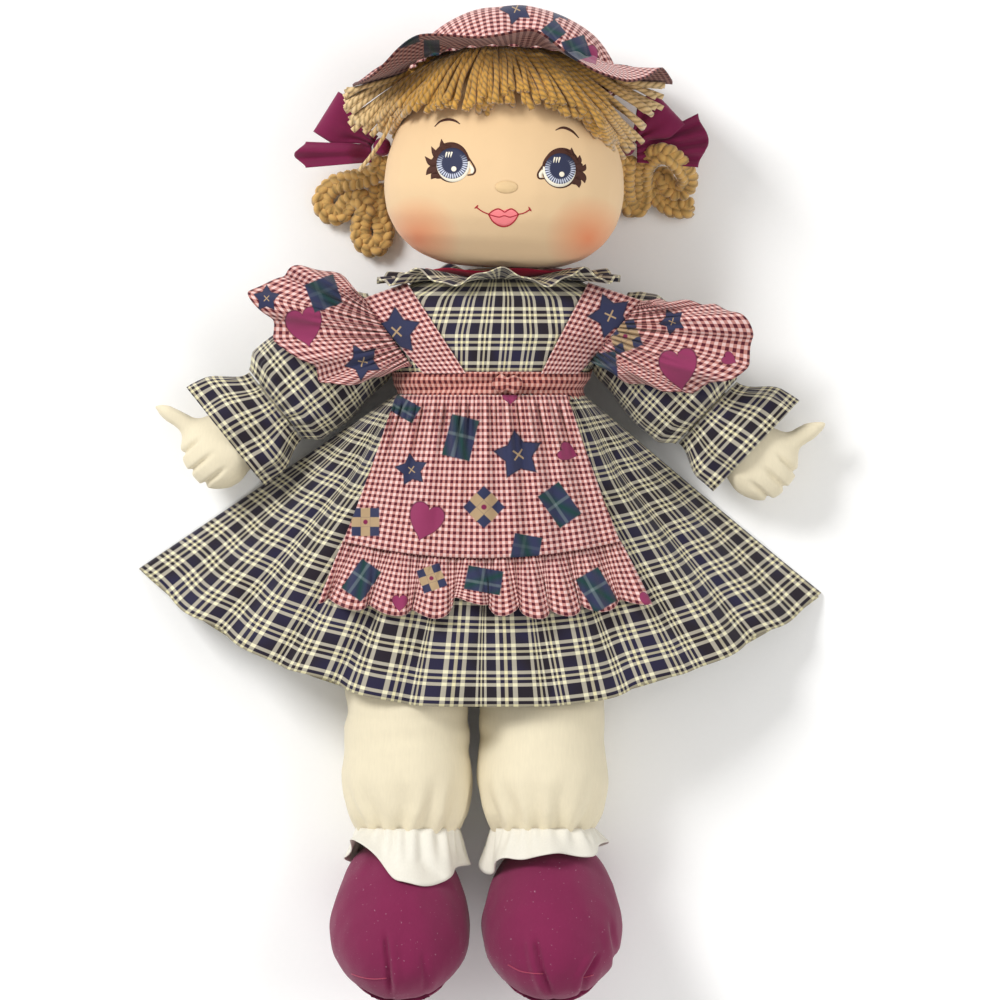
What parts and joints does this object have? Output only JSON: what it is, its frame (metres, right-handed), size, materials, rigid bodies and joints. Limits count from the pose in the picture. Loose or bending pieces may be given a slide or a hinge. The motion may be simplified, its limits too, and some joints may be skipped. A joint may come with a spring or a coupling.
{
  "type": "rag doll",
  "caption": "Soft cloth rag doll with yarn hair, sun hat, plaid dress, pinafore and stuffed shoes, lying on its back with arms out.",
  "frame": {"origin": "the middle of the flat on the back of the dress bodice, on the surface that the doll lies on", "axes": "+Y runs from the feet to the head, -Z is the way the back faces, +X points to the doll's left hand, at the right of a view from above"},
  "size_m": [0.4273, 0.6116, 0.1539],
  "materials": {
    "plaid_cotton": "woven plaid cotton, dull",
    "gingham_cotton": "small gingham print cotton, dull",
    "burgundy_cotton": "plain woven cotton, dull",
    "muslin": "plain woven muslin, dull",
    "face_cloth": "smooth knit, dull",
    "yarn": "twisted acrylic yarn",
    "white_cotton": "thin cotton, dull",
    "printed_ink": "screen printed on the cloth, slightly satin",
    "satin_thread": "satin stitch"
  },
  "bodies": {
    "torso": {"torso": "muslin", "bodice": "plaid_cotton", "collar_ruffle": "plaid_cotton", "neck_trim": "burgundy_cotton", "skirt_front": "plaid_cotton", "skirt_back": "plaid_cotton", "apron_waistband": "gingham_cotton", "apron_knot": "gingham_cotton", "apron_skirt": "gingham_cotton", "apron_ruffle": "gingham_cotton", "strap_left": "gingham_cotton", "strap_right": "gingham_cotton"},
    "neck": {"neck": "face_cloth"},
    "head": {"head": "face_cloth", "eye_left": "printed_ink", "eye_right": "printed_ink", "nose": "satin_thread", "mouth": "printed_ink", "hair_back": "yarn", "hair_fringe": "yarn", "hat_crown": "gingham_cotton", "hat_brim": "gingham_cotton", "bow_knot_left": "burgundy_cotton", "bow_loop_left": "burgundy_cotton", "bow_tail_left": "burgundy_cotton", "bow_knot_right": "burgundy_cotton", "bow_loop_right": "burgundy_cotton", "bow_tail_right": "burgundy_cotton"},
    "pigtail_left": {"pigtail_left": "yarn"},
    "arm_left": {"arm_left": "muslin", "sleeve_left": "plaid_cotton", "cuff_left": "plaid_cotton", "shoulder_frill_left": "gingham_cotton"},
    "leg_left": {"leg_left": "muslin", "ankle_frill_left": "white_cotton"},
    "foot_left": {"shoe_left": "burgundy_cotton", "sole_left": "burgundy_cotton"},
    "pigtail_right": {"pigtail_right": "yarn"},
    "arm_right": {"arm_right": "muslin", "sleeve_right": "plaid_cotton", "cuff_right": "plaid_cotton", "shoulder_frill_right": "gingham_cotton"},
    "leg_right": {"leg_right": "muslin", "ankle_frill_right": "white_cotton"},
    "foot_right": {"shoe_right": "burgundy_cotton", "sole_right": "burgundy_cotton"}
  },
  "joints": [
    {"name": "neck_nod", "type": "hinge", "parent": "torso", "child": "neck", "pos_m": [0.0057, 0.0355, 0.0441], "axis": [1, 0, 0], "range_deg": [0, 20], "deforming": ["neck", "collar_ruffle", "neck_trim"]},
    {"name": "head_tilt", "type": "hinge", "parent": "neck", "child": "head", "pos_m": [0.0057, 0.0355, 0.0441], "axis": [0, 0, 1], "range_deg": [-10, 10]},
    {"name": "pigtail_left_swing", "type": "hinge", "parent": "head", "child": "pigtail_left", "pos_m": [-0.0664, 0.116, 0.038], "axis": [0, 0, 1], "range_deg": [-35, 0]},
    {"name": "pigtail_right_swing", "type": "hinge", "parent": "head", "child": "pigtail_right", "pos_m": [0.0839, 0.116, 0.038], "axis": [0, 0, 1], "range_deg": [0, 35]},
    {"name": "shoulder_left", "type": "hinge", "parent": "torso", "child": "arm_left", "pos_m": [-0.08266, -0.004, 0.0298], "axis": [-0.2968, 0.9549, 0], "range_deg": [0, 80], "deforming": ["sleeve_left", "shoulder_frill_left"]},
    {"name": "shoulder_right", "type": "hinge", "parent": "torso", "child": "arm_right", "pos_m": [0.08818, -0.004, 0.0298], "axis": [-0.429, -0.9033, 0], "range_deg": [0, 80], "deforming": ["sleeve_right", "shoulder_frill_right"]},
    {"name": "hip_left", "type": "hinge", "parent": "torso", "child": "leg_left", "pos_m": [-0.051, -0.1314, 0.04025], "axis": [-1, 0, 0], "range_deg": [0, 90], "deforming": ["skirt_front", "skirt_back", "apron_skirt", "apron_ruffle"]},
    {"name": "ankle_left", "type": "hinge", "parent": "leg_left", "child": "foot_left", "pos_m": [-0.051, -0.302, 0.04025], "axis": [1, 0, 0], "range_deg": [-15, 15], "deforming": ["ankle_frill_left"]},
    {"name": "hip_right", "type": "hinge", "parent": "torso", "child": "leg_right", "pos_m": [0.032, -0.1314, 0.04025], "axis": [-1, 0, 0], "range_deg": [0, 90], "deforming": ["skirt_front", "skirt_back", "apron_skirt", "apron_ruffle"]},
    {"name": "ankle_right", "type": "hinge", "parent": "leg_right", "child": "foot_right", "pos_m": [0.032, -0.302, 0.04025], "axis": [1, 0, 0], "range_deg": [-15, 15], "deforming": ["ankle_frill_right"]}
  ]
}
